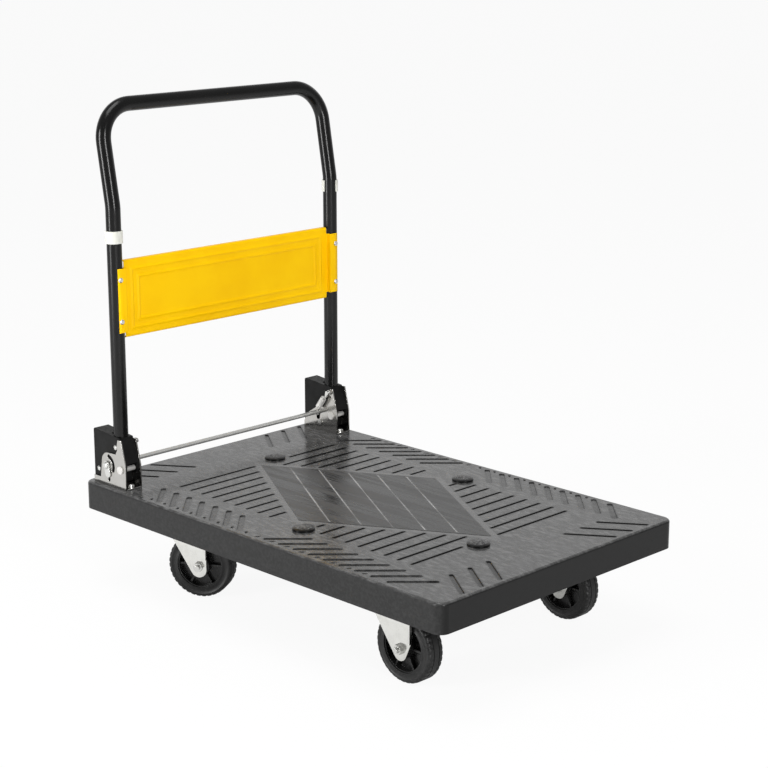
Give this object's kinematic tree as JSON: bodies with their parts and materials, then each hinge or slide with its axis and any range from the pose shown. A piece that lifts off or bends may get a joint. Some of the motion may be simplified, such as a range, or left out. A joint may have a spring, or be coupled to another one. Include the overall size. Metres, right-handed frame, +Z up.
{
  "type": "folding platform cart",
  "caption": "Folding platform cart: grooved moulded deck on casters, folding tube handle with a sheet panel, hinge brackets and a spring-returned release bar.",
  "frame": {"origin": "on the floor, under the middle of the deck", "axes": "+X to the front end, away from the handle; +Z up"},
  "size_m": [0.74, 0.48, 0.735],
  "materials": {
    "deck_plastic": "moulded, satin",
    "cap_rubber": "matte",
    "tube_paint": "gloss black coat",
    "shoe_plastic": "satin",
    "panel_paint": "gloss yellow coat",
    "clip_plastic": "satin",
    "tyre_rubber": "matte",
    "wheel_plastic": "satin",
    "zinc_sheet": "bright zinc plate",
    "zinc_steel": "bright zinc plate"
  },
  "bodies": {
    "base": {"deck_platform": "deck_plastic", "deck_caps": "cap_rubber", "bracket_bolts": "zinc_steel", "bracket_nuts": "zinc_steel", "spring_studs": "zinc_steel", "caster_bolts": "zinc_steel", "hinge_bracket_left": "zinc_sheet", "hinge_bracket_right": "zinc_sheet", "hinge_pin_left": "zinc_steel", "hinge_pin_right": "zinc_steel", "return_spring_left": "zinc_steel", "return_spring_right": "zinc_steel", "rigid_fork_left": "zinc_sheet", "rigid_fork_right": "zinc_sheet", "axle_front_left": "zinc_steel", "axle_front_right": "zinc_steel", "axle_nut_front_left": "zinc_steel", "axle_nut_front_right": "zinc_steel", "swivel_plate_left": "zinc_sheet", "swivel_plate_right": "zinc_sheet", "kingpin_left": "zinc_sheet", "kingpin_right": "zinc_sheet"},
    "handle": {"handle_tube": "tube_paint", "shoe_rivets": "zinc_steel", "handle_panel": "panel_paint", "panel_rivets": "zinc_steel", "handle_shoe_left": "shoe_plastic", "handle_shoe_right": "shoe_plastic", "tube_clip_left": "clip_plastic", "tube_clip_right": "clip_plastic"},
    "release": {"release_bar": "zinc_steel", "release_bar_caps": "zinc_steel"},
    "swivel_left": {"swivel_fork_left": "zinc_sheet", "axle_rear_left": "zinc_steel", "axle_nut_rear_left": "zinc_steel"},
    "swivel_right": {"swivel_fork_right": "zinc_sheet", "axle_rear_right": "zinc_steel", "axle_nut_rear_right": "zinc_steel"},
    "wheel_front_left": {"tyre_front_left": "tyre_rubber", "wheel_core_front_left": "wheel_plastic", "wheel_bush_front_left": "zinc_steel"},
    "wheel_front_right": {"tyre_front_right": "tyre_rubber", "wheel_core_front_right": "wheel_plastic", "wheel_bush_front_right": "zinc_steel"},
    "wheel_rear_left": {"tyre_rear_left": "tyre_rubber", "wheel_core_rear_left": "wheel_plastic", "wheel_bush_rear_left": "zinc_steel"},
    "wheel_rear_right": {"tyre_rear_right": "tyre_rubber", "wheel_core_rear_right": "wheel_plastic", "wheel_bush_rear_right": "zinc_steel"}
  },
  "joints": [
    {"name": "handle_fold", "type": "hinge", "parent": "base", "child": "handle", "pos_m": [-0.291, 0, 0.192], "axis": [0, 1, 0], "range_deg": [0, 90]},
    {"name": "release_press", "type": "slide", "parent": "base", "child": "release", "axis": [0, 0, -1], "range_m": [0, 0.008], "stiffness_N_per_m": 1200, "springref_m": -0.01, "deforming": ["return_spring_left", "return_spring_right"]},
    {"name": "swivel_left", "type": "hinge", "parent": "base", "child": "swivel_left", "pos_m": [-0.225, -0.163, 0.11], "axis": [0, 0, 1], "continuous": true},
    {"name": "swivel_right", "type": "hinge", "parent": "base", "child": "swivel_right", "pos_m": [-0.225, 0.163, 0.11], "axis": [0, 0, 1], "continuous": true},
    {"name": "roll_front_left", "type": "hinge", "parent": "base", "child": "wheel_front_left", "pos_m": [0.241, -0.163, 0.05], "axis": [0, 1, 0], "continuous": true},
    {"name": "roll_rear_left", "type": "hinge", "parent": "swivel_left", "child": "wheel_rear_left", "pos_m": [-0.20248, -0.15, 0.05], "axis": [-0.5, 0.866, 0], "continuous": true},
    {"name": "roll_front_right", "type": "hinge", "parent": "base", "child": "wheel_front_right", "pos_m": [0.241, 0.163, 0.05], "axis": [0, 1, 0], "continuous": true},
    {"name": "roll_rear_right", "type": "hinge", "parent": "swivel_right", "child": "wheel_rear_right", "pos_m": [-0.20248, 0.176, 0.05], "axis": [-0.5, 0.866, 0], "continuous": true}
  ]
}
